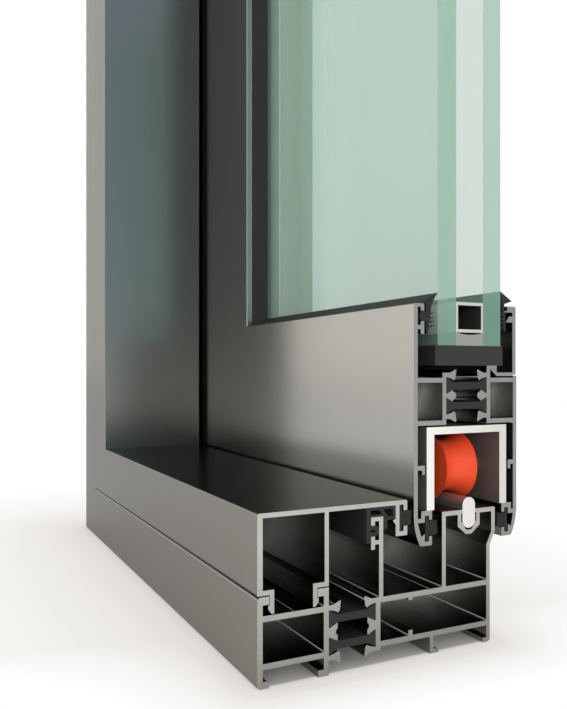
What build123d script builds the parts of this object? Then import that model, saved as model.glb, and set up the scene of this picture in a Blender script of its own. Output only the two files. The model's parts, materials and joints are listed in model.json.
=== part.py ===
from build123d import *
import os

# Corner sample of a thermally broken aluminium sliding window.
# X runs along the sill from the jamb's outer side, Y runs from the room side to
# the outside, Z is up, all in millimetres. The sill and the jamb share one
# section and meet on the mitre plane X = Z, and so do the rail and stile of the
# sash. The origin is the middle of the sample's footprint.

# Whole sample
sill_length = 264.0
jamb_height = 350.0

# Frame: aluminium shells either side of the thermal break
frame_wall = 1.8
upper_wall = 1.6
inner_shell_depth = 24.7
break_width = 17.6
outer_shell_depth = 48.2
floor_height = 5.8
chamber_height = 12.7
lip_rise = 5.8
lip_thickness = 2.5
lip_width = 4.0
toe_height = 2.2
toe_width = 3.8
upstand_step = 1.3
upstand_height = 26.45
foot_web_place = 21.8
foot_toe = 2.1
foot_toe_edge = 0.95
nib_place = 12.95
nib_width = 1.7
nib_drop = 0.8
nib_rise = 1.8
knee_start = 12.6
knee_height = 4.4
knee_reach = 2.3
lip_round = 1.2
toe_round = 0.95
deck_round = 0.6
scribe_depth = 0.35
scribe_offset = 8.6

# Rail and the holder it is pressed into
rail_width = 5.55
rail_height = 10.8
rail_shift = 0.5
deck_rise = 25.8
deck_reach = 11.2
rail_proud = 4.25
rail_play = 0.1
rail_end_gap = 0.5
holder_wall = 1.5
holder_floor = 1.5
holder_corner = 2.9
holder_recess = 0.5
holder_recess_height = 3.1
holder_recess_rise = 0.3
holder_bed_play = 0.6
holder_bed_flat = 1.2
holder_bed_rise = 2.5

# Thermal break strips
strip_body = 2.5
strip_foot = 5.3
strip_foot_length = 0.4
strip_taper_length = 2.8
frame_strip_pitch = 8.5
frame_strip_low = 9.1
sash_strip_pitch = 7.0
sash_strip_drop = 2.7

# Claws and jaws that hold the strips, as reach from the wall and rise
claw_root = 4.5
claw_play = 0.35
claw_grip_side = [(0, 0), (1.6, -0.35), (2.9, -0.8), (3.3, -1.2), (4.0, -0.5)]
claw_root_side = [(4.4, 0.9), (4.0, 1.1), (1.6, 0), (0, 0)]
jaw_play = 0.1
frame_jaw_reach = 3.2
frame_jaw_bite_radius = 1.17
frame_jaw_bite_depth = 0.65
sash_jaw_reach = 2.9
sash_jaw_bulb_radius = 1.4

# Slots that take a clip or a gasket
slot_bar = 1.4
slot_lip = 1.5
slot_height = 6.2
slot_lap = 1.3
slot_skirt = 1.6
sash_slot_bar = 1.15
upstand_slot_depth = 3.1
sash_slot_depth = 2.7

# Cover clipped to the inner shell
cover_wall = 1.5
cover_front = 1.8
cover_gap = 0.4
cover_hook_play = 0.15
cover_height = 25.0
cover_depth = 54.8
cover_hook_drop = 5.85
cover_barb = 0.5
cover_barb_play = 0.2
cover_barb_height = 1.3
cover_barb_edge = 0.1
cover_hook_tip = 0.9
brush_channel_height = 8.85
brush_channel_depth = 4.65
brush_lip_upper = 3.4
brush_lip_lower = 3.2
cover_catch_drop = 4.7
cover_catch_height = 1.8
cover_catch_reach = 1.05
cover_catch_flat = 0.6
cover_catch_edge = 0.4
cover_round = 0.6

# Plastic clip between cover and upstand
clip_skin = 0.9
clip_shelf = 0.65
clip_shelf_end = 0.6
clip_leg = 1.7
clip_leg_height = 11.5
clip_grip = 1.5
clip_grip_height = 5.1
clip_post = 1.0
clip_bar = 1.2
clip_rib = 1.6
clip_rib_lean = 1.5
clip_rib_proud = 0.2
clip_bulb_back = 0.7
clip_bulb_over = 0.35
clip_slit = 0.8
clip_play = 0.1

# Brush seals
brush_backing = 0.8
brush_play = 0.2
brush_reach = 1.6
sash_brush_reach = 2.2
brush_pile_height = 5.2

# Sash
sash_gap = 13.9
sash_depth = 45.5
sash_axis_inset = 22.5
sash_wall = 1.6
sash_inner_depth = 13.6
sash_outer_depth = 13.9
skirt_bottom = 36.95
skirt_curve_reach = 2.65
skirt_curve_height = 10.4
skirt_elbow_back = 1.4
skirt_elbow_rise = 1.75
skirt_bar_drop = 0.8
skirt_round = 0.8
brush_slot_wall = 1.45
brush_slot_back = 18.5
brush_slot_front = 16.75
brush_slot_lip = 15.45
brush_slot_height = 8.75
brush_slot_back_rise = 2.7
brush_slot_lip_rise = 1.7
brush_slot_shelf = 1.7
chamber_low = 77.85
chamber_high = 94.05
sash_height = 82.45
sash_top_round = 0.5
guide_nib_height = 64.3
guide_nib_bar = 1.6
guide_nib_drop = 1.6
guide_nib_leg = 1.15
guide_nib_round = 0.4
guide_play = 0.8
support_nib_rise = 4.3
support_nib_reach = 4.6
support_nib_thickness = 1.2

# Glazing
pane_thickness = 8.0
glass_gap = 12.0
block_height = 7.0
block_length = 100.0
block_over = 1.0
spacer_height = 10.6
spacer_side = 0.85
spacer_wall = 1.1
sealant_height = 4.6
sealant_dip = 0.8

# Glazing bead
bead_wall = 1.5
bead_inset = 0.35
bead_seat = 0.6
bead_rebate = 0.75
bead_height = 25.2
bead_flange = 1.25
bead_flange_play = 0.15
bead_wall_rise = 0.5
bead_play = 0.1
bead_head = 1.7
bead_head_reach = 4.0
bead_rib = 0.5
bead_rib_reach = 1.2
bead_catch_drop = 1.9
bead_catch_height = 2.2
bead_catch_slant = 1.6
bead_catch_reach = 0.7
bead_round = 0.5
bead_foot_round = 0.3

# Gaskets
gasket_width = 5.6
gasket_play = 0.1
gasket_nose_radius = 1.75
gasket_nose_place = 2.45
gasket_web_place = 3.5
gasket_web_foot = 0.8
gasket_web_height = 10.3
gasket_head_place = 1.3
gasket_head_rise = 0.2
gasket_tip_rise = 3.9
gasket_hollow = [(1.35, 1.7), (2.55, -0.6), (2.85, -2.8)]
gasket_fin_pitch = 1.45
gasket_fin_slope = 0.8
gasket_fin_root = 0.7
gasket_fin_edge = 0.3
gasket_fin_reach = 1.55
gasket_fin_top = 4.0
outer_web_place = 0.9
outer_web_taper = 0.7
outer_web_play = 0.8
outer_web_drop = 0.6
outer_web_height = 7.0
outer_fin_place = 6.6
outer_lip_rise = 0.8
outer_tip_rise = 5.3
outer_tip_edge = 0.9
outer_hood_reach = 2.2
outer_hood_rise = 1.9

# Roller
housing_width = 35.3
housing_wall = 3.15
housing_top_wall = 2.55
housing_height = 28.35
housing_length = 60.0
roller_radius = 12.3
roller_width = 13.6
roller_groove = 3.0
roller_setback = 15.8
roller_lift = 0.2
axle_diameter = 6.0
axle_play = 0.05
axle_head = 8.5
axle_head_play = 0.3

# How far a cutting shape reaches past the surface that it cuts
cut_over = 0.1

# Places worked out from the sizes above, along Y
outer_shell_start = inner_shell_depth + break_width
frame_depth = outer_shell_start + outer_shell_depth
upstand_face = outer_shell_start + upstand_step
upper_face = frame_depth + knee_reach
sash_face = upstand_face + sash_gap
sash_back = sash_face + sash_depth
sash_axis = sash_back - sash_axis_inset
rail_axis = sash_axis + rail_shift
sash_inner_end = sash_face + sash_inner_depth
sash_outer_start = sash_back - sash_outer_depth
sash_break_width = sash_outer_start - sash_inner_end
glass_face = sash_face + sash_wall + sash_slot_depth + gasket_width
glass_depth = 2 * pane_thickness + glass_gap
glass_back = glass_face + glass_depth

# Places worked out from the sizes above, along Z
floor_top = floor_height + frame_wall
chamber_under = floor_top + chamber_height
chamber_top = chamber_under + frame_wall
lip_top = chamber_top + lip_rise
upstand_top = chamber_top + upstand_height
deck_top = chamber_top + deck_rise
rail_top = deck_top + rail_proud
cover_under = lip_top + cover_gap
cover_top = cover_under + cover_height
strip_high = frame_strip_low + frame_strip_pitch
sash_strip_high = chamber_high - sash_strip_drop
sash_strip_low = sash_strip_high - sash_strip_pitch
sash_top = skirt_bottom + sash_height
brush_floor = skirt_bottom + brush_slot_wall
brush_ceiling = brush_floor + brush_slot_height
shelf_top = brush_ceiling + brush_slot_shelf
skirt_curve_top = skirt_bottom + skirt_curve_height
support_nib_top = chamber_high + support_nib_rise
glass_edge = support_nib_top + block_height
bead_bottom = chamber_high + bead_seat
bead_top = bead_bottom + bead_height
axle_head_thickness = guide_play - axle_head_play
roller_contact = roller_radius - roller_groove + roller_lift
roller_height = rail_top + roller_contact

section_plane = Plane(origin=(0, 0, 0), x_dir=(0, 1, 0), z_dir=(1, 0, 0))
mitre_plane = Plane(origin=(0, 0, 0), x_dir=(0, 1, 0), z_dir=(1, 0, -1))
sample_origin = Pos(-sill_length / 2, -sash_back / 2, 0)


def wall(y0, z0, y1, z1):
    middle = Pos((y0 + y1) / 2, (z0 + z1) / 2)
    return middle * Rectangle(abs(y1 - y0), abs(z1 - z0))


def outline(*points):
    return make_face(Polyline(*points, close=True))


def joined(walls):
    section = Sketch() + walls
    return section.clean()


def rounded(section, place, radius):
    corner = section.vertices().sort_by_distance(Vector(*place))[0]
    return fillet(corner, radius)


def flipped(points, axis):
    return [(2 * axis - y, z) for y, z in points]


def swept(section, length, start=0.0):
    return extrude(section_plane.offset(start) * section, amount=length - start)


def along_sill(section, length=sill_length):
    return split(swept(section, length), bisect_by=mitre_plane, keep=Keep.TOP)


def along_jamb(section, length=jamb_height):
    return mirror(along_sill(section, length), about=mitre_plane)


def round_corner_run(section):
    return (along_sill(section) + along_jamb(section)).clean()


# Thermal break: strips, the claws that grip them and the jaw between them

def strip_section(start, width, height):
    half = width / 2
    foot = strip_foot / 2
    body = strip_body / 2
    near = half - strip_foot_length
    far = near - strip_taper_length
    right = [(half, -foot), (half, foot), (near, foot), (far, body)]
    left = [(-far, body), (-near, foot), (-half, foot), (-half, -foot)]
    under = [(-near, -foot), (-far, -body), (far, -body), (near, -foot)]
    return Pos(start + half, height) * outline(*right, *left, *under)


def claw(face, side, height, up):
    grip = strip_foot / 2 + claw_play
    gripping = [(reach, grip + rise) for reach, rise in claw_grip_side]
    rooted = [(reach, claw_root + rise) for reach, rise in claw_root_side]
    return outline(*[(face + side * reach, height + up * rise) for reach, rise in gripping + rooted])


def jaw(face, side, height, pitch, reach):
    root = pitch / 2 - strip_foot / 2 - jaw_play
    taper = (strip_foot - strip_body) / 2 / strip_taper_length
    tip = root + (reach - strip_foot_length) * taper
    upper = [(0, root), (strip_foot_length, root), (reach, tip)]
    lower = [(along, -rise) for along, rise in reversed(upper)]
    return outline(*[(face + side * along, height + rise) for along, rise in upper + lower])


def claw_pairs(face, side, low, high):
    return [claw(face, side, high, 1), claw(face, side, low, -1)]


def frame_grips(face, side):
    middle = (frame_strip_low + strip_high) / 2
    bite_place = frame_jaw_reach + frame_jaw_bite_radius - frame_jaw_bite_depth
    bite = Pos(face + side * bite_place, middle) * Circle(frame_jaw_bite_radius)
    held = jaw(face, side, middle, frame_strip_pitch, frame_jaw_reach) - bite
    return [*claw_pairs(face, side, frame_strip_low, strip_high), held]


def sash_grips(face, side):
    middle = (sash_strip_low + sash_strip_high) / 2
    held = jaw(face, side, middle, sash_strip_pitch, sash_jaw_reach)
    bulb = Pos(face + side * sash_jaw_reach, middle) * Circle(sash_jaw_bulb_radius)
    return [*claw_pairs(face, side, sash_strip_low, sash_strip_high), held, bulb]


def lipped_slot(face, side, depth, top, bar):
    mouth = face + side * depth
    lip = mouth - side * slot_lip
    under = top - bar
    low = under - slot_height
    return [wall(face, under, mouth, top), wall(lip, under - slot_lap, mouth, top),
            wall(face, low - slot_bar, mouth, low),
            wall(lip, low - slot_bar - slot_skirt, mouth, low + slot_lap)]


def scribe(place, height, up):
    edge = height + up * cut_over
    return outline((place - scribe_depth, edge), (place + scribe_depth, edge),
                   (place, height - up * scribe_depth))


# Frame sections

def frame_inner_section():
    end = inner_shell_depth
    lip = end - lip_width
    low = floor_height
    section = joined([
        wall(0, 0, frame_wall, lip_top),
        wall(end - frame_wall, 0, end, lip_top),
        wall(0, chamber_under, end, chamber_top),
        wall(0, low, end, floor_top),
        wall(0, lip_top - lip_thickness, lip_width, lip_top),
        wall(lip, lip_top - lip_thickness, end, lip_top),
        wall(0, 0, toe_width, toe_height),
        wall(end - toe_width, 0, end, toe_height),
        *frame_grips(end, 1)])
    section -= scribe(end / 2, chamber_top, 1)
    section -= scribe(end / 2, low, -1)
    section = rounded(section, (0, lip_top), lip_round)
    section = rounded(section, (0, 0), lip_round)
    return rounded(section, (toe_width, toe_height), toe_round)


def rail_holder():
    under_deck = deck_top - upper_wall
    slot = rail_width / 2 + rail_play
    recess = slot + holder_recess
    half = recess + holder_wall
    bed = rail_top - rail_height - holder_bed_play
    bed_top = bed + holder_bed_rise
    bottom = bed - holder_floor
    corner = bottom + holder_corner
    recess_top = under_deck + holder_recess_rise
    recess_low = recess_top - holder_recess_height
    block = outline((rail_axis - half, under_deck), (rail_axis - half, corner),
                    (rail_axis - holder_bed_flat, bottom), (rail_axis + holder_bed_flat, bottom),
                    (rail_axis + half, corner), (rail_axis + half, under_deck))
    pocket = [wall(rail_axis - slot, bed_top, rail_axis + slot, deck_top),
              wall(rail_axis - recess, recess_low, rail_axis + recess, recess_top),
              outline((rail_axis - slot, bed_top), (rail_axis - holder_bed_flat, bed),
                      (rail_axis + holder_bed_flat, bed), (rail_axis + slot, bed_top))]
    return block, pocket


def frame_outer_section():
    start = outer_shell_start
    end = frame_depth
    deck_start = sash_axis - deck_reach
    web = start + foot_web_place
    nib = start + nib_place
    knee = chamber_top + knee_start
    upper = knee + knee_height
    inner_upper = upper_face - upper_wall
    holder, pocket = rail_holder()
    section = joined([
        wall(start, frame_strip_low - claw_root, start + frame_wall, chamber_top),
        wall(upstand_face, chamber_under, upstand_face + upper_wall, upstand_top),
        wall(start, chamber_under, end, chamber_top),
        wall(start, floor_height, end, floor_top),
        wall(end - upper_wall, 0, end, knee),
        wall(end - upper_wall - upper_wall, 0, end, upper_wall),
        outline((end - upper_wall, knee), (end, knee), (upper_face, upper), (inner_upper, upper)),
        wall(inner_upper, upper, upper_face, deck_top),
        wall(deck_start, deck_top - upper_wall, upper_face, deck_top),
        wall(deck_start, chamber_top, deck_start + upper_wall, deck_top),
        wall(web, 0, web + upper_wall, floor_height),
        outline((web, 0), (web + upper_wall + foot_toe, 0),
                (web + upper_wall + foot_toe, foot_toe_edge), (web + upper_wall, upper_wall)),
        wall(nib, chamber_under - nib_drop, nib + nib_width, chamber_under),
        wall(nib, floor_top, nib + nib_width, floor_top + nib_rise),
        holder,
        *lipped_slot(upstand_face, -1, upstand_slot_depth, upstand_top, slot_bar),
        *frame_grips(start, -1)])
    section -= pocket
    section -= scribe(web, chamber_top, 1)
    section -= scribe(web + scribe_offset, floor_height, -1)
    section = rounded(section, (upper_face, deck_top), deck_round)
    return rounded(section, (end, 0), lip_round)


def cover_hook(face, side):
    # the leg stands on the face away from the shell's lip, its barb points at the lip
    back = face + side * cover_wall
    tip = cover_under - cover_hook_drop
    tip_end = back - side * cover_hook_tip
    barb = lip_top - lip_thickness - cover_barb_play
    point = face - side * cover_barb
    foot = cover_under + cover_wall
    return outline((back, foot), (back, tip), (tip_end, tip), (point, barb - cover_barb_height),
                   (point, barb - cover_barb_edge), (face, barb), (face, foot))


def cover_section():
    end = cover_depth
    top_under = cover_top - cover_wall
    low = cover_under
    flange = low + cover_wall
    web_end = inner_shell_depth
    near_hook = lip_width + cover_hook_play
    far_hook = inner_shell_depth - lip_width - cover_hook_play
    leg = end - brush_channel_depth
    base = top_under - brush_channel_height
    catch = top_under - cover_catch_drop
    lip = end - cover_wall
    section = joined([
        wall(0, top_under, end, cover_top),
        wall(0, low, cover_front, cover_top),
        wall(web_end - cover_wall, low, web_end, cover_top),
        wall(0, low, near_hook + cover_wall, flange),
        wall(far_hook - cover_wall, low, web_end, flange),
        cover_hook(near_hook, 1),
        cover_hook(far_hook, -1),
        wall(leg, base - cover_wall, leg + cover_wall, cover_top),
        wall(leg, base - cover_wall, end, base),
        wall(lip, base - cover_wall, end, base - cover_wall + brush_lip_lower),
        wall(lip, cover_top - brush_lip_upper, end, cover_top),
        outline((leg, catch), (leg - cover_catch_flat, catch),
                (leg - cover_catch_reach, catch - cover_catch_edge),
                (leg, catch - cover_catch_height))])
    section = rounded(section, (0, cover_top), cover_round)
    return rounded(section, (end, cover_top), cover_round)


def clip_section():
    mouth = upstand_face - upstand_slot_depth
    leg_end = mouth - clip_play
    leg = leg_end - clip_leg
    top = cover_top - cover_wall - clip_play
    under = top - clip_skin
    shelf = upstand_top + clip_play
    shelf_top = shelf + clip_shelf
    guard = upstand_face + upper_wall + clip_play
    guard_end = guard + clip_grip
    post_end = cover_depth - brush_channel_depth - clip_play
    catch = cover_top - cover_wall - cover_catch_drop + clip_play
    bar_top = catch + clip_bar
    rib = guard_end - clip_rib_lean
    rib_foot = guard_end + clip_rib_proud
    lip_end = mouth + slot_lip + clip_play
    mouth_top = upstand_top - slot_bar - slot_lap
    mouth_low = mouth_top - slot_height + 2 * slot_lap
    middle = (mouth_top + mouth_low) / 2
    neck = (mouth_top - mouth_low) / 2 - clip_play
    radius = neck + clip_bulb_over
    bulb = Pos(lip_end - clip_bulb_back, middle) * Circle(radius)
    head = bulb & wall(lip_end, middle - radius, lip_end + radius, middle + radius)
    section = joined([
        wall(leg, top - clip_leg_height, leg_end, top),
        wall(leg, under, post_end, top),
        wall(leg, shelf, guard_end - clip_shelf_end, shelf_top),
        wall(guard, shelf_top - clip_grip_height, guard_end, shelf_top),
        wall(guard, catch, post_end, bar_top),
        wall(post_end - clip_post, catch, post_end, top),
        outline((rib - clip_rib, under), (rib, under), (rib_foot, bar_top),
                (rib_foot - clip_rib, bar_top)),
        wall(leg_end, middle - neck, lip_end, middle + neck),
        head])
    return section - wall(leg_end, middle - clip_slit / 2, lip_end, middle + clip_slit / 2)


def cover_brush_section():
    back = cover_depth - brush_channel_depth + cover_wall + brush_play
    ceiling = cover_top - cover_wall
    base = ceiling - brush_channel_height
    mouth_low = base - cover_wall + brush_lip_lower
    mouth_high = cover_top - brush_lip_upper
    middle = (mouth_low + mouth_high) / 2
    tip = cover_depth + brush_reach
    backing = wall(back, base + brush_play, back + brush_backing, ceiling - brush_play)
    pile = wall(back, middle - brush_pile_height / 2, tip, middle + brush_pile_height / 2)
    return joined([backing, pile & wall(back, base, tip, ceiling)])


def rail_section():
    return Pos(rail_axis, rail_top - rail_height / 2) * SlotOverall(rail_height, rail_width, 90)


# Sash sections. Shapes drawn for the room side are flipped for the outside.

def brush_slot_points():
    back = sash_axis - brush_slot_back
    front = sash_axis - brush_slot_front
    lip = sash_axis - brush_slot_lip
    return back, front, lip, brush_floor, brush_floor + brush_slot_lip_rise


def skirt_points(face):
    back, front, lip, base, mouth_low = brush_slot_points()
    wall_in = face + sash_wall
    bar_top = brush_ceiling - skirt_bar_drop
    bar_low = bar_top - brush_slot_wall
    return [(face, skirt_curve_top), (face + skirt_curve_reach, skirt_bottom), (lip, skirt_bottom),
            (lip, mouth_low), (front, mouth_low), (front, base), (back, base),
            (back, base + brush_slot_back_rise), (back - skirt_elbow_back, base + skirt_elbow_rise),
            (wall_in, bar_low), (back, bar_low), (back, bar_top), (wall_in, bar_top),
            (wall_in, skirt_curve_top)]


def skirt(points):
    # the first side is an arc that leaves the sash's face straight down
    arc = TangentArc(points[0], points[1], tangent=(0, -1))
    return make_face(arc + Polyline(*points[1:], points[0]))


def shelf_points():
    back, front, lip, base, mouth_low = brush_slot_points()
    web = back - brush_slot_wall
    web_low = brush_ceiling - skirt_bar_drop - brush_slot_wall
    hook = brush_ceiling - brush_slot_wall
    return [(web, web_low), (back, web_low), (back, brush_ceiling), (front, brush_ceiling),
            (front, hook), (lip, hook), (lip, shelf_top), (web, shelf_top)]


def guide_nib_points(face):
    wall_in = face + sash_wall
    end = sash_axis - housing_width / 2 - guide_play
    leg = end - guide_nib_leg
    under = guide_nib_height - guide_nib_bar
    low = under - guide_nib_drop
    return [(wall_in, under), (leg, under), (leg, low), (end, low), (end, guide_nib_height),
            (wall_in, guide_nib_height)]


def round_guide_nib(section, nib):
    # the corner that faces the roller, by no more than half the nib's reach
    reach = abs(nib[3][0] - nib[0][0])
    return rounded(section, nib[3], min(guide_nib_round, reach / 2))


def sash_inner_section():
    end = sash_inner_end
    nib = guide_nib_points(sash_face)
    section = joined([
        wall(sash_face, skirt_curve_top, sash_face + sash_wall, sash_top),
        wall(sash_face, chamber_high - sash_wall, end, chamber_high),
        wall(sash_face, chamber_low, end, chamber_low + sash_wall),
        wall(end - sash_wall, chamber_low, end, sash_strip_high + claw_root),
        skirt(skirt_points(sash_face)),
        outline(*shelf_points()),
        outline(*nib),
        *lipped_slot(sash_face + sash_wall, 1, sash_slot_depth, sash_top, sash_slot_bar),
        *sash_grips(end, 1)])
    section = rounded(section, (sash_face, sash_top), sash_top_round)
    section = round_guide_nib(section, nib)
    return rounded(section, (sash_face + skirt_curve_reach, skirt_bottom), skirt_round)


def sash_outer_section():
    start = sash_outer_start
    face = 2 * sash_axis - sash_back
    nib = flipped(guide_nib_points(face), sash_axis)
    nib_under = support_nib_top - support_nib_thickness
    outer_wall = sash_back - sash_wall
    section = joined([
        wall(outer_wall, skirt_curve_top, sash_back, chamber_high + bead_rebate),
        wall(start, chamber_high - sash_wall, sash_back, chamber_high),
        wall(start, chamber_low, sash_back, chamber_low + sash_wall),
        wall(start, chamber_low, start + sash_wall, support_nib_top),
        wall(start, nib_under, start + support_nib_reach, support_nib_top),
        skirt(flipped(skirt_points(face), sash_axis)),
        outline(*flipped(shelf_points(), sash_axis)),
        outline(*nib),
        *sash_grips(start, -1)])
    section = round_guide_nib(section, nib)
    return rounded(section, (sash_back - skirt_curve_reach, skirt_bottom), skirt_round)


def bead_section():
    face = sash_back - bead_inset
    back = face - bead_wall
    hook = sash_outer_start + sash_wall + bead_play
    hook_top = support_nib_top - support_nib_thickness - bead_play
    nib_end = sash_outer_start + support_nib_reach
    flange_end = sash_back - sash_wall - bead_flange_play
    flange_top = bead_bottom + bead_flange
    wall_low = bead_bottom + bead_wall_rise
    head = face - bead_head_reach
    head_low = bead_top - bead_head
    catch = head_low - bead_catch_drop
    catch_low = catch - bead_catch_height
    tip = head - bead_catch_reach
    section = joined([
        wall(back, wall_low, face, bead_top),
        wall(nib_end, bead_bottom, flange_end, flange_top),
        wall(nib_end, wall_low, back, flange_top),
        outline((hook, hook_top), (nib_end, hook_top), (nib_end, bead_bottom)),
        wall(head, head_low, face, bead_top),
        wall(head - bead_rib_reach, head_low - bead_rib, face, head_low),
        outline((back, catch), (tip + bead_catch_slant, catch), (tip, catch_low), (back, catch_low))])
    section = rounded(section, (face, bead_top), bead_round)
    return rounded(section, (face, wall_low), bead_foot_round)


def brush_section(flip):
    back, front, lip, base, mouth_low = brush_slot_points()
    middle = (back + front) / 2
    near = middle - brush_backing / 2
    far = middle + brush_backing / 2
    backing_low = base + brush_play
    backing_top = brush_ceiling - brush_play
    pile_low = mouth_low + brush_play
    pile_top = pile_low + brush_pile_height
    tip = lip + sash_brush_reach
    backing = [(near, backing_low), (far, backing_low), (far, backing_top), (near, backing_top)]
    pile = [(near, pile_low), (tip, pile_low), (tip, pile_top), (near, pile_top)]
    shapes = [backing, pile]
    if flip:
        shapes = [flipped(shape, sash_axis) for shape in shapes]
    return joined([outline(*shape) for shape in shapes])


# Gaskets: a nose held in the slot, a web along the glass, fins and a soft head

def fin(root, tip, height):
    return outline((root, height), (tip, height + gasket_fin_slope),
                   (tip, height + gasket_fin_slope + gasket_fin_edge), (root, height + gasket_fin_root))


def inner_gasket_section():
    slot = sash_face + sash_wall
    middle = sash_top - sash_slot_bar - slot_height / 2
    nose = Pos(slot + gasket_nose_place, middle) * Circle(gasket_nose_radius)
    glass = glass_face - gasket_play
    web = slot + gasket_web_place
    web_low = sash_top - gasket_web_height
    head_low = sash_top + gasket_head_rise
    hollow = [(glass - back, sash_top + rise) for back, rise in gasket_hollow]
    body = outline((slot + gasket_head_place, head_low), (glass, sash_top + gasket_tip_rise), *hollow,
                   (web + gasket_web_foot, web_low), (web, web_low), (web, head_low))
    first_fin = sash_top - gasket_fin_top
    fins = [fin(web + gasket_web_foot / 2, glass - gasket_fin_reach, first_fin - gasket_fin_pitch * step)
            for step in range(4)]
    return joined([nose, body, *fins])


def outer_gasket_section():
    head = sash_back - bead_inset - bead_head_reach
    head_low = bead_top - bead_head
    glass = glass_back + gasket_play
    web = glass + outer_web_place
    neck = head - bead_rib_reach - gasket_play
    back = head - outer_web_play
    web_top = head_low - outer_web_drop
    web_low = web_top - outer_web_height
    neck_top = bead_top + outer_lip_rise
    tip = bead_top + outer_tip_rise
    shapes = [
        outline((web, web_top), (back, web_top), (back, web_low), (web + outer_web_taper, web_low)),
        wall(web, web_top, neck, neck_top),
        outline((glass, tip), (glass, tip - outer_tip_edge), (web, neck_top), (neck, neck_top),
                (head + outer_hood_reach, bead_top + outer_hood_rise))]
    first_fin = head_low - outer_fin_place
    shapes += [fin((web + back) / 2, glass, first_fin + gasket_fin_pitch * step) for step in range(4)]
    return joined(shapes)


# Insulating glass unit

def pane(start):
    width = sill_length - glass_edge
    height = jamb_height - glass_edge
    corner = Pos(glass_edge, start, glass_edge)
    return corner * Box(width, pane_thickness, height, align=Align.MIN)


def spacer_section():
    start = glass_face + pane_thickness
    low = glass_edge + sealant_height
    outside = wall(start, low, start + glass_gap, low + spacer_height)
    inside = wall(start + spacer_side, low + spacer_wall, start + glass_gap - spacer_side,
                  low + spacer_height - spacer_wall)
    return outside - inside


def sealant_section():
    start = glass_face + pane_thickness
    body = wall(start, glass_edge, start + glass_gap, glass_edge + sealant_height)
    radius = (sealant_dip ** 2 + (glass_gap / 2) ** 2) / (2 * sealant_dip)
    middle = start + glass_gap / 2
    dip = Pos(middle, glass_edge + sealant_height - sealant_dip + radius) * Circle(radius)
    return body - dip


def setting_block():
    front = glass_face - block_over
    back = glass_back + block_over
    place = Pos(sill_length - block_length, front, support_nib_top)
    size = (block_length, back - front, glass_edge - support_nib_top)
    return place * Box(*size, align=Align.MIN)


# Roller carriage

def housing():
    front = sash_axis - housing_width / 2
    back = sash_axis + housing_width / 2
    top = shelf_top + housing_height
    shape = wall(front, shelf_top, back, top)
    shape -= wall(front + housing_wall, shelf_top - cut_over, back - housing_wall, top - housing_top_wall)
    body = swept(shape, sill_length, sill_length - housing_length)
    bore = Cylinder(axle_diameter / 2 + axle_play, housing_width + 2 * cut_over)
    return body - axle_place(sash_axis) * bore


def axle_place(middle):
    return Pos(sill_length - roller_setback, middle, roller_height) * Rot(90, 0, 0)


def axle():
    pin = Cylinder(axle_diameter / 2, housing_width)
    cap = Cylinder(axle_head / 2, axle_head_thickness)
    middle = (housing_width + axle_head_thickness) / 2
    ends = [Pos(0, 0, side * middle) * cap for side in (-1, 1)]
    return axle_place(sash_axis) * (pin + ends)


def roller():
    half = roller_width / 2
    bore = axle_diameter / 2 + axle_play
    tread = ThreePointArc((roller_radius, half), (roller_radius - roller_groove, 0), (roller_radius, -half))
    sides = Polyline((roller_radius, -half), (bore, -half), (bore, half), (roller_radius, half))
    profile = make_face(tread + sides)
    return axle_place(rail_axis) * revolve(Plane.XZ * profile, Axis.Z)


def export(name, shape):
    export_step(sample_origin * shape, "parts/" + name + ".step")


frame_sections = {
    "inner_shell": frame_inner_section,
    "outer_shell": frame_outer_section,
    "break_upper": lambda: strip_section(inner_shell_depth, break_width, strip_high),
    "break_lower": lambda: strip_section(inner_shell_depth, break_width, frame_strip_low),
    "cover": cover_section,
    "cover_clip": clip_section,
    "cover_brush": cover_brush_section,
}
sash_sections = {
    "inner_shell": sash_inner_section,
    "outer_shell": sash_outer_section,
    "break_upper": lambda: strip_section(sash_inner_end, sash_break_width, sash_strip_high),
    "break_lower": lambda: strip_section(sash_inner_end, sash_break_width, sash_strip_low),
    "bead": bead_section,
    "inner_brush": lambda: brush_section(False),
    "outer_brush": lambda: brush_section(True),
}

os.makedirs("parts", exist_ok=True)
for name, section in frame_sections.items():
    export("sill_" + name, along_sill(section()))
    export("jamb_" + name, along_jamb(section()))
for name, section in sash_sections.items():
    export("rail_" + name, along_sill(section()))
    export("stile_" + name, along_jamb(section()))
export("sill_rail", swept(rail_section(), sill_length, deck_top + rail_end_gap))
export("inner_gasket", round_corner_run(inner_gasket_section()))
export("outer_gasket", round_corner_run(outer_gasket_section()))
export("inner_pane", pane(glass_face))
export("outer_pane", pane(glass_back - pane_thickness))
export("spacer", round_corner_run(spacer_section()))
export("edge_sealant", round_corner_run(sealant_section()))
export("setting_block", setting_block())
export("roller_housing", housing())
export("roller_axle", axle())
export("roller_wheel", roller())
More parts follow.
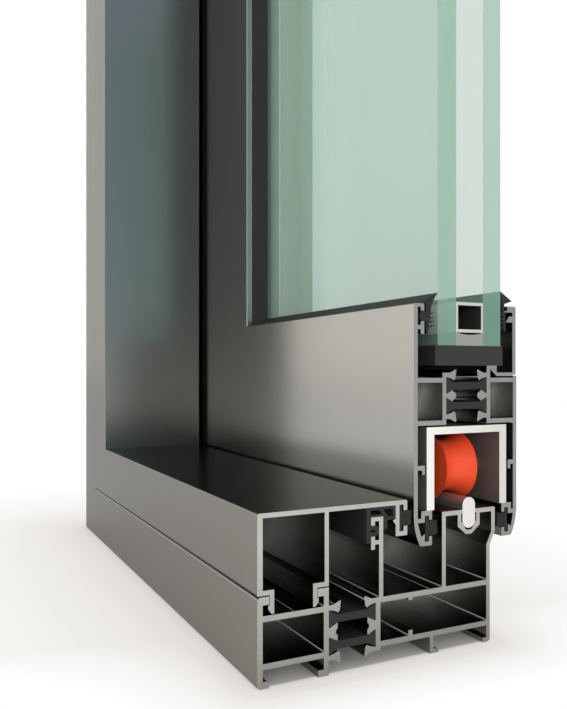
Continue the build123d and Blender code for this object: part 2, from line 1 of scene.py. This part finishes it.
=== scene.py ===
import bpy
import json
import math
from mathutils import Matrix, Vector


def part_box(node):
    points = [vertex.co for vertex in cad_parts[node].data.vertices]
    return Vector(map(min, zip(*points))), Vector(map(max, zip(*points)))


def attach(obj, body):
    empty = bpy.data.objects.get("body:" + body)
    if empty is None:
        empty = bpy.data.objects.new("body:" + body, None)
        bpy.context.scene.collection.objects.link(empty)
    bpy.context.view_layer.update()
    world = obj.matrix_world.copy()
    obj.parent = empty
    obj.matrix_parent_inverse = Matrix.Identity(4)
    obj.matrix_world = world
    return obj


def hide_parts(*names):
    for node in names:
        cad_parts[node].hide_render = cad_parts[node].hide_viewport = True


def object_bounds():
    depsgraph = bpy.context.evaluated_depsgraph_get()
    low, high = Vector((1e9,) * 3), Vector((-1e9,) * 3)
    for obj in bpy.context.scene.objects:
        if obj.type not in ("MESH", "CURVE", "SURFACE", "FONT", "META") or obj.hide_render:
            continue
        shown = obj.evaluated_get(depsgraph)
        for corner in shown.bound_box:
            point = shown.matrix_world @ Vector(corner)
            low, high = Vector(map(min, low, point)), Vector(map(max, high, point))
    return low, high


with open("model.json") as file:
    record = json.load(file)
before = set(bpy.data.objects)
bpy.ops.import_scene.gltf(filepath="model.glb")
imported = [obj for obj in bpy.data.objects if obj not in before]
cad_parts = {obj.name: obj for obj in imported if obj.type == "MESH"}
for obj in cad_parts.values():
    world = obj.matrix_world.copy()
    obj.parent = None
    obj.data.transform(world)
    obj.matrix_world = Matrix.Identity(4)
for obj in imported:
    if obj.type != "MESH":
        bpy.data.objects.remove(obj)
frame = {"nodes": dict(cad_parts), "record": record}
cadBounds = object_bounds()
nodes = frame["nodes"]
sideLow = cadBounds[0][0]
depthLow = cadBounds[0][1]
cutSide = cadBounds[1][0]
cutTop = cadBounds[1][2]
print("frame loaded", len(nodes), "nodes")

# a point lies on a plane when it is nearer to it than this
touching = 0.00004
black = (0.0, 0.0, 0.0)
fullWhite = (1.0, 1.0, 1.0)

# the view of the photo: level, from the cut end, a little off the middle
cameraValues = {
    "place": (0.3371, -0.1412, 0.0963),
    "turn": 62.80,
    "sensor": 36,
    "lens": 37.62,
    "shift": (-0.02835, 0.02384),
    "clip": (0.01, 100),
}


def placeCamera(values):
    data = bpy.data.cameras.new("camera")
    camera = bpy.data.objects.new("camera", data)
    bpy.context.scene.collection.objects.link(camera)
    camera.location = values["place"]
    camera.rotation_euler = (math.radians(90), 0, math.radians(values["turn"]))
    data.sensor_width = values["sensor"]
    data.lens = values["lens"]
    data.shift_x, data.shift_y = values["shift"]
    data.clip_start, data.clip_end = values["clip"]
    bpy.context.scene.camera = camera


placeCamera(cameraValues)
bpy.context.scene.view_settings.view_transform = "Standard"
print("camera placed")


# Shader maths: a socket whose operators add Math nodes

class Wire:
    def __init__(self, finish, socket):
        self.finish = finish
        self.socket = socket

    def maths(self, operation, *others, clamp=False):
        return self.finish.add("ShaderNodeMath", {"operation": operation, "use_clamp": clamp},
                               dict(enumerate([self, *others])))

    def __add__(self, other):
        return self.maths("ADD", other)

    def __mul__(self, other):
        return self.maths("MULTIPLY", other)

    def __sub__(self, other):
        return self.maths("SUBTRACT", other)

    def __rsub__(self, other):
        return self.finish.add("ShaderNodeMath", {"operation": "SUBTRACT"}, {0: other, 1: self})

    def __gt__(self, other):
        return self.maths("GREATER_THAN", other)

    def __lt__(self, other):
        return self.maths("LESS_THAN", other)

    def highest(self, other):
        return self.maths("MAXIMUM", other)

    def lowest(self, other):
        return self.maths("MINIMUM", other)

    def clamped(self):
        return self.maths("ADD", 0.0, clamp=True)

    def axis(self, number):
        return self.finish.add("ShaderNodeSeparateXYZ", None, {0: self}, number)

    def vectorMaths(self, operation, other=(0, 0, 0), output=0):
        return self.finish.add("ShaderNodeVectorMath", {"operation": operation},
                               {0: self, 1: other}, output)


class Finish:
    def __init__(self, owner):
        owner.use_nodes = True
        self.owner = owner
        self.tree = owner.node_tree
        self.tree.nodes.clear()

    def add(self, kind, settings=None, values=None, output=0):
        node = self.tree.nodes.new(kind)
        for name, value in (settings or {}).items():
            if name == "stops":
                self.setStops(node.color_ramp, value)
            else:
                setattr(node, name, value)
        for place, value in (values or {}).items():
            if isinstance(value, Wire):
                self.tree.links.new(value.socket, node.inputs[place])
            elif isinstance(value, tuple) and node.inputs[place].type == "RGBA":
                node.inputs[place].default_value = (*value, 1)
            else:
                node.inputs[place].default_value = value
        return Wire(self, node.outputs[output]) if node.outputs else node

    def setStops(self, ramp, stops):
        while len(ramp.elements) < len(stops):
            ramp.elements.new(0.5)
        for element, (position, colour) in zip(ramp.elements, stops):
            element.position = position
            element.color = (*colour, 1)

    def coordinates(self, kind="Object"):
        return self.add("ShaderNodeTexCoord", output=kind)

    def place(self, axis):
        return self.coordinates().axis(axis)

    def facing(self, axis):
        return self.coordinates("Normal").axis(axis)

    def depth(self):
        # a point's depth in the section, from the room side
        return self.place(1) - depthLow

    def across(self):
        # a point's distance from the jamb's side of the sample
        return self.place(0) - sideLow

    def height(self):
        # a point's height in the section, which is the same in the sill and in the jamb
        return self.across().lowest(self.place(2))

    def noise(self, scale, stretch=(1, 1, 1), detail=3):
        vector = self.coordinates().vectorMaths("MULTIPLY", stretch)
        return self.add("ShaderNodeTexNoise", None,
                        {"Vector": vector, "Scale": scale, "Detail": detail})

    def uneven(self, grain, middle, spread):
        # a value that wanders with the grain on both sides of its middle
        return grain * spread + (middle - spread / 2)

    def mix(self, share, first, second):
        # 6, 7 and the result 2 are the sockets for colours
        return self.add("ShaderNodeMix", {"data_type": "RGBA"}, {0: share, 6: first, 7: second}, 2)

    def ramp(self, position, stops):
        return self.add("ShaderNodeValToRGB", {"stops": stops}, {0: position})

    def bump(self, height, distance, strength):
        return self.add("ShaderNodeBump", None,
                        {"Height": height, "Distance": distance, "Strength": strength})

    def ray(self, *kinds):
        # 1 for rays of these kinds
        total, *others = [self.add("ShaderNodeLightPath", output=kind) for kind in kinds]
        for wire in others:
            total = total.highest(wire)
        return total

    def blend(self, share, first, second):
        return self.add("ShaderNodeMixShader", None, {0: share, 1: first, 2: second})

    def glow(self, kind, colour, strength=1.0):
        return self.add(kind, None, {"Color": colour, "Strength": strength})

    def surface(self, **values):
        sockets = {name.replace("_", " "): value for name, value in values.items()}
        self.show(self.add("ShaderNodeBsdfPrincipled", None, sockets))
        return self.owner

    def show(self, shader, kind="ShaderNodeOutputMaterial"):
        self.add(kind, None, {"Surface": shader})


def newFinish(name):
    return Finish(bpy.data.materials.new(name))


def shaded(colour, share):
    return tuple(min(1, part * share) for part in colour)


def between(wire, low, high):
    # 1 where the value lies between these two
    return (wire > low) * (wire < high)


def inBox(finish, near, far, low, high):
    # 1 where a point's depth and height in the section lie in these spans
    return between(finish.depth(), near, far) * between(finish.height(), low, high)


def cutFaces(finish):
    # 1 on the sawn ends of the sample, 0 on the drawn sides
    return (finish.place(0) > cutSide - touching).highest(finish.place(2) > cutTop - touching)


def chamberWalls(finish, values):
    # gives two masks: the first is painted light inside the chambers, a pale tone strongest high
    # up on the upright webs and away from the saw cut, weaker on the floors, and full in a fine
    # painted highlight line where a web meets its floor; the second is the floors and ceilings,
    # for painted shade
    height = finish.height()
    fromCut = (cutSide - finish.place(0)).lowest(cutTop - finish.place(2))
    facing = finish.facing(1)
    # the outer wall's outside is seen from behind and isn't part of a chamber
    outside = (facing > values["outwards"]) * (finish.depth() > values["outerWall"])
    upright = facing.maths("ABSOLUTE") * (1 - outside)
    level = (1 - upright) * (1 - outside)
    webs = lines = within = floors = 0.0
    for near, far, low, high, webStrength, floorStrength in values["chambers"]:
        box = inBox(finish, near, far, low, high)
        foot = values["paintedGlowFoot"]
        rise = (height - low) * ((1 - foot) / (high - low)) + foot
        webs = box * rise * webStrength + webs
        floors = box * floorStrength + floors
        lines = box * (height < low + values["paintedHighlightLine"]) + lines
        within = box + within
    deep = (fromCut * (1 / values["paintedGlowFade"])).clamped()
    paintedGlow = (webs * upright + floors * level) * deep * deep
    return (paintedGlow + lines * upright).clamped(), (level * within).clamped()


sawnValues = {
    "grain": 900,
    "stretch": (1, 0.15, 1),
    # how much the saw lines, each metre of depth and the foot of the section darken a sawn face;
    # the darkening at the foot is painted shade
    "lines": 0.28,
    "outwards": 3.0,
    "foot": 0.85,
    "footHeight": 0.045,
    "start": -0.11,
    "darkenedShare": 0.5,
}


def sawnTone(finish, colour, values):
    # faint saw lines across a cut face, which grows darker towards the outside, with painted shade
    # towards the foot
    lines = finish.noise(values["grain"], values["stretch"], 2) * values["lines"]
    outwards = finish.depth() * values["outwards"]
    # painted shade towards the foot of the section
    foot = (1 - finish.height() * (1 / values["footHeight"])).clamped() * values["foot"]
    darkening = (lines + outwards + foot + values["start"]).clamped()
    return finish.mix(darkening, colour, shaded(colour, values["darkenedShare"]))


# what the two alloys share
alloyValues = {
    "grain": 5200,
    "grainDepth": 0.00001,
    "grainStrength": 0.2,
    # the grain shows as flecks above this value, and grows clear at this rate
    "fleckStart": 0.42,
    "fleckGain": 2.5,
    "roughnessSpread": 0.1,
    "cutRoughness": 0.42,
    "cutMetallic": 0.7,
    # pale painted light inside the chambers, and how metallic it is
    "paintedGlowColour": (0.90, 0.89, 0.85),
    "paintedGlowMetallic": 0.0,
    # share of the painted light at the foot of a web, against 1 at its top
    "paintedGlowFoot": 0.3,
    # a side faces outwards when its direction along the depth is more than this
    "outwards": 0.2,
    # height from and to of a top side with painted shade of its own
    "top": None,
}
frameAlloyValues = {
    **alloyValues,
    "colour": (0.335, 0.324, 0.298),
    "fleck": (0.375, 0.362, 0.333),
    "cutColour": (0.66, 0.64, 0.59),
    "roughness": 0.24,
    "slantTint": (0.62, 0.62, 0.62),
    # the painted light fades in over this distance from the saw cut
    "paintedGlowFade": 0.045,
    "outerWall": 0.088,
    # height of the painted highlight line where a web meets its floor
    "paintedHighlightLine": 0.00042,
    # painted shade on the chamber floors and ceilings
    "paintedChamberShade": (0.06, 0.058, 0.054),
    # depth from, depth to, height from, height to, strength of the painted light on the webs and
    # on the floor
    "chambers": [(0.00175, 0.0233, 0.0220, 0.0519, 1.8, 0.0),
                 (0.0246, 0.0437, 0.0220, 0.0500, 2.5, 0.0),
                 (0.0451, 0.0694, 0.0220, 0.0464, 4.0, 0.0),
                 (0.0708, 0.0913, 0.0220, 0.0464, 5.0, 0.0),
                 (0.00175, 0.0233, 0.00755, 0.0204, 1.2, 1.6),
                 (0.0440, 0.0890, 0.00755, 0.0204, 3.0, 1.6)],
    # the top of the sill's cover gets painted shade, darker than its front
    "top": (0.0529, 0.0535),
    "topPaintedShade": (0.16, 0.155, 0.143),
    # painted shade in the joint between the cover and the shell's lip: depth and height from and
    # to
    "seam": (-0.001, 0.0060, 0.0274, 0.0288),
    "seamPaintedShade": (0.012, 0.012, 0.011),
}
sashAlloyValues = {
    **alloyValues,
    # the sash's sides get a lighter tone than the frame's: painted light
    "colour": (0.485, 0.473, 0.443),
    "fleck": (0.545, 0.531, 0.498),
    "cutColour": (0.47, 0.455, 0.42),
    "roughness": 0.21,
    "slantTint": (0.55, 0.55, 0.55),
    # the painted light fades in over this distance from the saw cut
    "paintedGlowFade": 0.018,
    "outerWall": 0.1015,
    # height of the painted highlight line where a web meets its floor
    "paintedHighlightLine": 0.0003,
    # painted shade on the chamber floors and ceilings
    "paintedChamberShade": (0.15, 0.146, 0.136),
    "chambers": [(0.05905, 0.10145, 0.0776, 0.0942, 3.0, 0.0),
                 (0.0850, 0.10145, 0.0942, 0.1190, 1.0, 0.0)],
    # painted shade in the joint between the glazing bead and the shell
    "seam": (0.0970, 0.10285, 0.0940, 0.0947),
    "seamPaintedShade": (0.03, 0.03, 0.028),
}


def alloyFinish(name, values):
    finish = newFinish(name)
    grain = finish.noise(values["grain"])
    fleck = ((grain - values["fleckStart"]) * values["fleckGain"]).clamped()
    sides = finish.mix(fleck, values["colour"], values["fleck"])
    if values["top"]:
        # painted shade on the top side
        top = (finish.facing(2) > 0.5) * between(finish.place(2), *values["top"])
        sides = finish.mix(top, sides, values["topPaintedShade"])
    paintedGlow, floors = chamberWalls(finish, values)
    # painted shade on the chamber floors and ceilings
    sides = finish.mix(floors, sides, values["paintedChamberShade"])
    # painted light on the chamber webs and floors, with a painted highlight line at each web's
    # foot
    sides = finish.mix(paintedGlow, sides, values["paintedGlowColour"])
    # painted shade in the joint
    seam = inBox(finish, *values["seam"])
    sides = finish.mix(seam, sides, values["seamPaintedShade"])
    cut = cutFaces(finish)
    colour = finish.mix(cut, sides, sawnTone(finish, values["cutColour"], sawnValues))
    rough = finish.uneven(grain, values["roughness"], values["roughnessSpread"])
    rough = rough * (1 - cut) + cut * values["cutRoughness"]
    metal = (1 - paintedGlow * (1 - values["paintedGlowMetallic"])) * (1 - seam) * (1 - cut)
    metal = metal + cut * values["cutMetallic"]
    bump = finish.bump(grain, values["grainDepth"], values["grainStrength"])
    return finish.surface(Base_Color=colour, Roughness=rough, Metallic=metal,
                          Specular_Tint=values["slantTint"], Normal=bump)


brightMetalValues = {
    "colour": (0.30, 0.288, 0.272),
    "variation": 1.12,
    "metallic": 0.6,
    "cutColour": (0.97, 0.953, 0.905),
    "roughness": 0.2,
    "roughnessSpread": 0.08,
    "cutRougher": 0.25,
    "grain": 2600,
    "stretch": (0.2, 1, 1),
    "grainDepth": 0.00001,
    "grainStrength": 0.15,
    # painted shade: the white ends darken over this depth in the section, to this share
    "darkening": (0.060, 0.095),
    "darkenedShare": 0.74,
}


def whiteEndedMetal(name, values):
    # smooth metal sides, with the cut end painted white
    finish = newFinish(name)
    grain = finish.noise(values["grain"], values["stretch"])
    cut = cutFaces(finish)
    sides = finish.mix(grain, values["colour"], shaded(values["colour"], values["variation"]))
    # painted shade: the white end darkens with depth in the section
    start, end = values["darkening"]
    darkening = ((finish.depth() - start) * (1 / (end - start))).clamped()
    ends = finish.mix(darkening, values["cutColour"], shaded(values["cutColour"], values["darkenedShare"]))
    colour = finish.mix(cut, sides, ends)
    rough = finish.uneven(grain, values["roughness"], values["roughnessSpread"])
    bump = finish.bump(grain, values["grainDepth"], values["grainStrength"])
    return finish.surface(Base_Color=colour, Roughness=rough + cut * values["cutRougher"],
                          Metallic=(1 - cut) * values["metallic"], Normal=bump)


# every plain finish starts from these values and changes some of them
plainStart = {
    "roughness": 0.6,
    "roughnessSpread": 0.14,
    "metallic": 0.0,
    "specular": 0.5,
    "variation": 0.12,
    "grain": 1500,
    "stretch": (1, 1, 1),
    "grainDepth": 0.00002,
    "grainStrength": 0.4,
}
plainValues = {
    "break plastic": {"colour": (0.034, 0.033, 0.032), "roughness": 0.65, "specular": 0.2},
    "brush fibre": {"colour": (0.042, 0.042, 0.040), "roughness": 0.9, "specular": 0.2,
                    "variation": 0.35, "grain": 2500, "stretch": (1, 0.1, 1)},
    "brush backing": {"colour": (0.030, 0.030, 0.029), "specular": 0.3},
    "gasket rubber": {"colour": (0.026, 0.026, 0.0255), "roughness": 0.55, "specular": 0.25},
    "wheel red": {"colour": (1.0, 0.095, 0.028), "roughness": 0.34, "specular": 0.35,
                  "variation": 0.05},
    "axle steel": {"colour": (0.55, 0.55, 0.53), "roughness": 0.3, "metallic": 1.0},
    "sealant grey": {"colour": (0.33, 0.32, 0.305)},
    "block plastic": {"colour": (0.040, 0.038, 0.037), "roughness": 0.55, "specular": 0.25},
}


def plainFinish(name, values):
    finish = newFinish(name)
    grain = finish.noise(values["grain"], values["stretch"])
    tone = finish.mix(grain, shaded(values["colour"], 1 - values["variation"]),
                      shaded(values["colour"], 1 + values["variation"]))
    rough = finish.uneven(grain, values["roughness"], values["roughnessSpread"])
    bump = finish.bump(grain, values["grainDepth"], values["grainStrength"])
    return finish.surface(Base_Color=tone, Roughness=rough, Metallic=values["metallic"],
                          Specular_IOR_Level=values["specular"], Normal=bump)


glassValues = {
    "colour": (0.43, 0.72, 0.56),
    "cloud": 14,
    "variation": 0.05,
    "alpha": 0.26,
    "roughness": 0.08,
    "specular": 0.3,
    "cutColour": (0.26, 0.46, 0.36),
    "cutAlpha": 0.63,
    # beside the stile the outer pane gets painted light in a paler, denser band: the band's span
    # from the jamb's side, and the depth from which it shows
    "band": (0.105, 0.1345),
    "bandDepth": 0.08,
    "bandPaintedLight": (0.88, 1.0, 0.94),
    "bandAlpha": 0.78,
    # next to it, on the outer pane's inner face, a strip that gives off some light
    "strip": (0.1345, 0.1500),
    "stripDepth": (0.08, 0.0900),
    "stripAlpha": 0.9,
    "stripLight": (0.28, 0.32, 0.32),
    # the spacer bar touches the inner pane here, and the pane's face lets its tone through
    "bond": (0.0750, 0.0760, 0.1096, 0.1209),
}


def glassFinish(name, values):
    finish = newFinish(name)
    cloud = finish.noise(values["cloud"], detail=2)
    tone = finish.mix(cloud, shaded(values["colour"], 1 - values["variation"]),
                      shaded(values["colour"], 1 + values["variation"]))
    cut = cutFaces(finish)
    across = finish.across()
    depth = finish.depth()
    band = between(across, *values["band"]) * (depth > values["bandDepth"])
    strip = between(across, *values["strip"]) * between(depth, *values["stripDepth"]) * (1 - cut)
    bond = inBox(finish, *values["bond"])
    # painted light in the band and the strip
    tone = finish.mix(band.highest(strip), tone, values["bandPaintedLight"])
    colour = finish.mix(cut, tone, values["cutColour"])
    alpha = band * (values["bandAlpha"] - values["alpha"]) + values["alpha"]
    alpha = alpha.highest(strip * values["stripAlpha"]) * (1 - bond)
    alpha = alpha * (1 - cut) + cut * values["cutAlpha"]
    return finish.surface(Base_Color=colour, Roughness=values["roughness"], Alpha=alpha,
                          Specular_IOR_Level=values["specular"], Emission_Strength=1.0,
                          Emission_Color=finish.mix(strip, black, values["stripLight"]))


spacerValues = {
    "colour": (0.54, 0.53, 0.50),
    "variation": 0.07,
    "cutColour": (0.80, 0.78, 0.71),
    "roughness": 0.35,
    "roughnessSpread": 0.1,
    "metallic": 0.3,
    "grain": 3000,
    "stretch": (0.15, 1, 0.15),
    "grainDepth": 0.00001,
    "grainStrength": 0.2,
    # the bar's hollow: depth from, depth to, height from, height to
    "hollow": (0.0762, 0.0866, 0.1110, 0.1195),
    "hollowPaintedShade": (0.07, 0.066, 0.062),
    # the side that is bonded to the inner pane gets pale painted light, up to this depth
    "bondDepth": 0.0757,
    "bondPaintedLight": (0.92, 1.0, 0.97),
}


def spacerFinish(name, values):
    # a mill finish bar: fine lines along it, painted shade inside its hollow, paler where it is
    # sawn
    finish = newFinish(name)
    grain = finish.noise(values["grain"], values["stretch"])
    cut = cutFaces(finish)
    sides = finish.mix(grain, shaded(values["colour"], 1 - values["variation"]),
                       shaded(values["colour"], 1 + values["variation"]))
    # painted shade inside the bar's hollow
    sides = finish.mix(inBox(finish, *values["hollow"]), sides, values["hollowPaintedShade"])
    # painted light on the side bonded to the inner pane
    bond = (finish.depth() < values["bondDepth"]) * (1 - cut)
    sides = finish.mix(bond, sides, values["bondPaintedLight"])
    colour = finish.mix(cut, sides, sawnTone(finish, values["cutColour"], sawnValues))
    rough = finish.uneven(grain, values["roughness"], values["roughnessSpread"])
    bump = finish.bump(grain, values["grainDepth"], values["grainStrength"])
    return finish.surface(Base_Color=colour, Roughness=rough,
                          Metallic=(1 - bond) * values["metallic"], Normal=bump)


plain = {name: plainFinish(name, {**plainStart, **values})
         for name, values in plainValues.items()}
finishOf = {
    "frame_alloy": alloyFinish("frame alloy", frameAlloyValues),
    "sash_alloy": alloyFinish("sash alloy", sashAlloyValues),
    "break_plastic": plain["break plastic"],
    "brush_pile": plain["brush fibre"],
    "gasket_rubber": plain["gasket rubber"],
    "rail_metal": whiteEndedMetal("rail metal", brightMetalValues),
    "housing_metal": whiteEndedMetal("housing metal", brightMetalValues),
    "wheel_red": plain["wheel red"],
    "axle_steel": plain["axle steel"],
    "spacer_metal": spacerFinish("spacer metal", spacerValues),
    "edge_sealant": plain["sealant grey"],
    "block_plastic": plain["block plastic"],
    "pane_glass": glassFinish("pane glass", glassValues),
}
print("finishes made")

for entry in frame["record"]["subparts"]:
    mesh = nodes[entry["node"]].data
    mesh.materials.clear()
    mesh.materials.append(finishOf[entry["material_slot"]])
print("finishes given to the nodes")


# Brush seals: a stiff backing strip in its slot and rows of ragged bristle tufts

brushValues = {
    "backing": 0.0008,
    "backingRound": 0.00015,
    "backingSteps": 2,
    "pileHeight": 0.0052,
    "tuft": 0.0009,
    "row": 0.00040,
    "thickness": 0.00030,
    "tipShare": 0.5,
    "tipLength": 0.0006,
    "ragged": 0.0009,
    "raggedSize": 0.0012,
}
brushPlaces = {
    # node: run along the sill or up the jamb, pile's start above the backing's foot,
    # and whether the pile points to the outside
    "sill_cover_brush": ("sill", 0.001525, True),
    "jamb_cover_brush": ("jamb", 0.001525, True),
    "rail_inner_brush": ("sill", 0.0017, True),
    "stile_inner_brush": ("jamb", 0.0017, True),
    "rail_outer_brush": ("sill", 0.0017, False),
    "stile_outer_brush": ("jamb", 0.0017, False),
}


def pickNone():
    if bpy.context.object and bpy.context.object.mode != "OBJECT":
        bpy.ops.object.mode_set(mode="OBJECT")
    bpy.ops.object.select_all(action="DESELECT")


def pick(piece):
    pickNone()
    piece.select_set(True)
    bpy.context.view_layer.objects.active = piece


def addBlock(name, low, high):
    pickNone()
    middle = [(a + b) / 2 for a, b in zip(low, high)]
    bpy.ops.mesh.primitive_cube_add(size=1, location=middle)
    block = bpy.context.object
    block.name = name
    block.scale = [b - a for a, b in zip(low, high)]
    bpy.ops.object.transform_apply(location=True, rotation=False, scale=True)
    return block


def applyAll(piece):
    pick(piece)
    for modifier in list(piece.modifiers):
        bpy.ops.object.modifier_apply(modifier=modifier.name)


def cutMitre(piece, run):
    # the two runs meet on the slanting plane through the sample's lower corner
    pick(piece)
    bpy.ops.object.mode_set(mode="EDIT")
    bpy.ops.mesh.select_all(action="SELECT")
    away = 1 if run == "sill" else -1
    bpy.ops.mesh.bisect(plane_co=(sideLow, 0, 0), plane_no=(away, 0, -away), use_fill=True,
                        clear_inner=True, clear_outer=False)
    bpy.ops.object.mode_set(mode="OBJECT")


def turned(run, along, depth, rise):
    # a size or step of a brush, given along the run, in depth and in rise
    return (along, depth, rise) if run == "sill" else (rise, depth, along)


def corner(run, along, depth, rise):
    # a point of a brush, from its place along the run, its depth and its rise
    return (along, depth, rise) if run == "sill" else (rise + sideLow, depth, along - sideLow)


def addRepeat(piece, name, count, step):
    repeat = piece.modifiers.new(name, "ARRAY")
    repeat.count = count
    repeat.use_relative_offset = False
    repeat.use_constant_offset = True
    repeat.constant_offset_displace = step


def shapeTuft(pile, run, tip, way, values):
    # the tuft's end is drawn out thinner, and its points are kept for the ragged edge
    bpy.ops.object.mode_set(mode="EDIT")
    bpy.ops.mesh.select_mode(type="FACE")
    bpy.ops.mesh.select_all(action="DESELECT")
    bpy.ops.object.mode_set(mode="OBJECT")
    for face in pile.data.polygons:
        face.select = abs(face.center.y - tip) < touching
    bpy.ops.object.mode_set(mode="EDIT")
    length = way * values["tipLength"]
    bpy.ops.transform.translate(value=(0, -length, 0))
    bpy.ops.mesh.extrude_region_move(TRANSFORM_OT_translate={"value": (0, length, 0)})
    bpy.ops.transform.resize(value=turned(run, 1, 1, values["tipShare"]))
    bpy.ops.object.mode_set(mode="OBJECT")
    ends = [point.index for point in pile.data.vertices if abs(point.co.y - tip) < touching]
    pile.vertex_groups.new(name="tips").add(ends, 1, "ADD")


def makeBrush(node, run, pileStart, outwards, values):
    low, high = (Vector(point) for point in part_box(node))
    if run == "jamb":
        low, high = (Vector((p.z + sideLow, p.y, p.x - sideLow)) for p in (low, high))
    way = 1 if outwards else -1
    back, tip = (low.y, high.y) if outwards else (high.y, low.y)
    front = back + way * values["backing"]
    backing = addBlock(node + "_backing", corner(run, low.x, min(back, front), low.z),
                       corner(run, high.x, max(back, front), high.z))
    bevel = backing.modifiers.new("round", "BEVEL")
    bevel.width = values["backingRound"]
    bevel.segments = values["backingSteps"]
    applyAll(backing)
    cutMitre(backing, run)
    backing.data.materials.append(plain["brush backing"])

    tufts = round((high.x - low.x) / values["tuft"])
    pitch = (high.x - low.x) / tufts
    rows = int(values["pileHeight"] / values["row"])
    pileLow = low.z + pileStart + (values["pileHeight"] - rows * values["row"]) / 2
    pileHigh = pileLow + values["thickness"]
    pile = addBlock(node + "_pile", corner(run, low.x, min(front, tip), pileLow),
                    corner(run, low.x + pitch, max(front, tip), pileHigh))
    shapeTuft(pile, run, tip, way, values)
    addRepeat(pile, "along", tufts, turned(run, pitch, 0, 0))
    addRepeat(pile, "upwards", rows, turned(run, 0, 0, values["row"]))
    cloud = bpy.data.textures.new(node + " ragged", "CLOUDS")
    cloud.noise_scale = values["raggedSize"]
    ragged = pile.modifiers.new("ragged", "DISPLACE")
    ragged.texture = cloud
    ragged.direction = "Y"
    ragged.vertex_group = "tips"
    ragged.strength = values["ragged"]
    applyAll(pile)
    cutMitre(pile, run)
    pile.data.materials.append(plain["brush fibre"])
    body = "frame" if "cover" in node else "sash"
    for piece in (backing, pile):
        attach(piece, body)
        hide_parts(node)


for node, (run, pileStart, outwards) in brushPlaces.items():
    makeBrush(node, run, pileStart, outwards, brushValues)
print("brushes made")


# Floor, lights and surroundings

floorValues = {
    "size": 40,
    "colour": (0.78, 0.765, 0.745),
    "near": (1.0, 0.97, 0.94),
    # the sample's foot, a little inside its outline: middle and half its size
    "centre": (0, -0.0062, 0),
    "half": (0.1302, 0.0440, 0),
    # distance over which the floor turns white
    "reach": 0.16,
    # towards the cut end the floor clears sooner: the way there, its start, length and gain,
    # and the distance from the foot that stays as it is
    "clearWay": (1.0, -0.2, 0),
    "clearFrom": 0.09,
    "clearLength": 0.07,
    "clearGain": 5.0,
    "contact": 0.007,
    # how white the floor is to rays that metal mirrors
    "mirroredShare": 0.68,
    # share of plain white against the shaded floor, by distance from the sample's foot
    "whiteness": [(0.0, 0.03), (0.008, 0.47), (0.03, 0.57), (0.14, 0.69), (0.42, 0.86),
                  (0.8, 0.95), (1.0, 1.0)],
}


def makeFloor(values):
    pickNone()
    bpy.ops.mesh.primitive_plane_add(size=values["size"], location=(0, 0, 0))
    floor = bpy.context.object
    floor.name = "floor"
    finish = newFinish("floor")
    shade = finish.add("ShaderNodeBsdfDiffuse", None, {"Color": values["colour"]})
    away = finish.coordinates().vectorMaths("SUBTRACT", values["centre"]).vectorMaths("ABSOLUTE")
    away = away.vectorMaths("SUBTRACT", values["half"]).vectorMaths("MAXIMUM")
    distance = away.vectorMaths("LENGTH", output=1)
    clear = finish.coordinates().vectorMaths("DOT_PRODUCT", values["clearWay"], 1)
    clear = ((clear - values["clearFrom"]) * (1 / values["clearLength"])).clamped()
    beyond = (distance - values["contact"]).highest(0) * clear * values["clearGain"]
    far = ((distance + beyond) * (1 / values["reach"])).clamped()
    share = finish.ramp(far, [(position, shaded(fullWhite, part))
                              for position, part in values["whiteness"]])
    white = finish.glow("ShaderNodeEmission", finish.mix(far, values["near"], fullWhite))
    seen = finish.ray("Is Camera Ray", "Is Transmission Ray")
    seen = seen.highest(finish.ray("Is Glossy Ray") * values["mirroredShare"])
    finish.show(finish.blend(seen * share, shade, white))
    floor.data.materials.append(finish.owner)


surroundingsValues = {
    "ambient": 0.62,
    "ambientColour": (1.0, 0.99, 0.97),
    # what metal mirrors, from the side away from the bright one to the bright side
    "brightSide": (-0.78, -0.58, 0.22),
    "stops": [(0.0, (0.37, 0.55, 0.67)), (0.35, (0.28, 0.305, 0.31)), (0.75, (0.82, 0.81, 0.79)),
              (0.92, (1.06, 1.045, 1.0))],
}


def makeSurroundings(values):
    world = bpy.data.worlds.new("surroundings")
    bpy.context.scene.world = world
    finish = Finish(world)
    direction = finish.coordinates("Generated")
    facing = direction.vectorMaths("DOT_PRODUCT", values["brightSide"], 1)
    tone = finish.ramp(facing * 0.5 + 0.5, values["stops"])
    background = "ShaderNodeBackground"
    ambient = finish.glow(background, values["ambientColour"], values["ambient"])
    mirrored = finish.glow(background, tone)
    white = finish.glow(background, fullWhite)
    lit = finish.blend(finish.ray("Is Glossy Ray"), ambient, mirrored)
    seen = finish.ray("Is Camera Ray", "Is Transmission Ray")
    finish.show(finish.blend(seen, lit, white), "ShaderNodeOutputWorld")


lampValues = {
    # name: place, aim, size and power
    "key": ((1.6, -0.7, 0.34), (0.1, 0, 0.06), (1.2, 0.5), 9),
    "side": ((1.5, 0.4, 0.7), (0.1, 0, 0.1), (1.0, 1.0), 4),
}


def addLamp(name, place, aim, size, power):
    data = bpy.data.lights.new(name, "AREA")
    data.shape = "RECTANGLE"
    data.size, data.size_y = size
    data.energy = power
    lamp = bpy.data.objects.new(name, data)
    bpy.context.scene.collection.objects.link(lamp)
    lamp.rotation_euler = (Vector(aim) - Vector(place)).to_track_quat("-Z", "Y").to_euler()
    lamp.location = place
    lamp.visible_glossy = False


makeFloor(floorValues)
makeSurroundings(surroundingsValues)
for name, values in lampValues.items():
    addLamp(name, *values)
print("floor and lights placed")
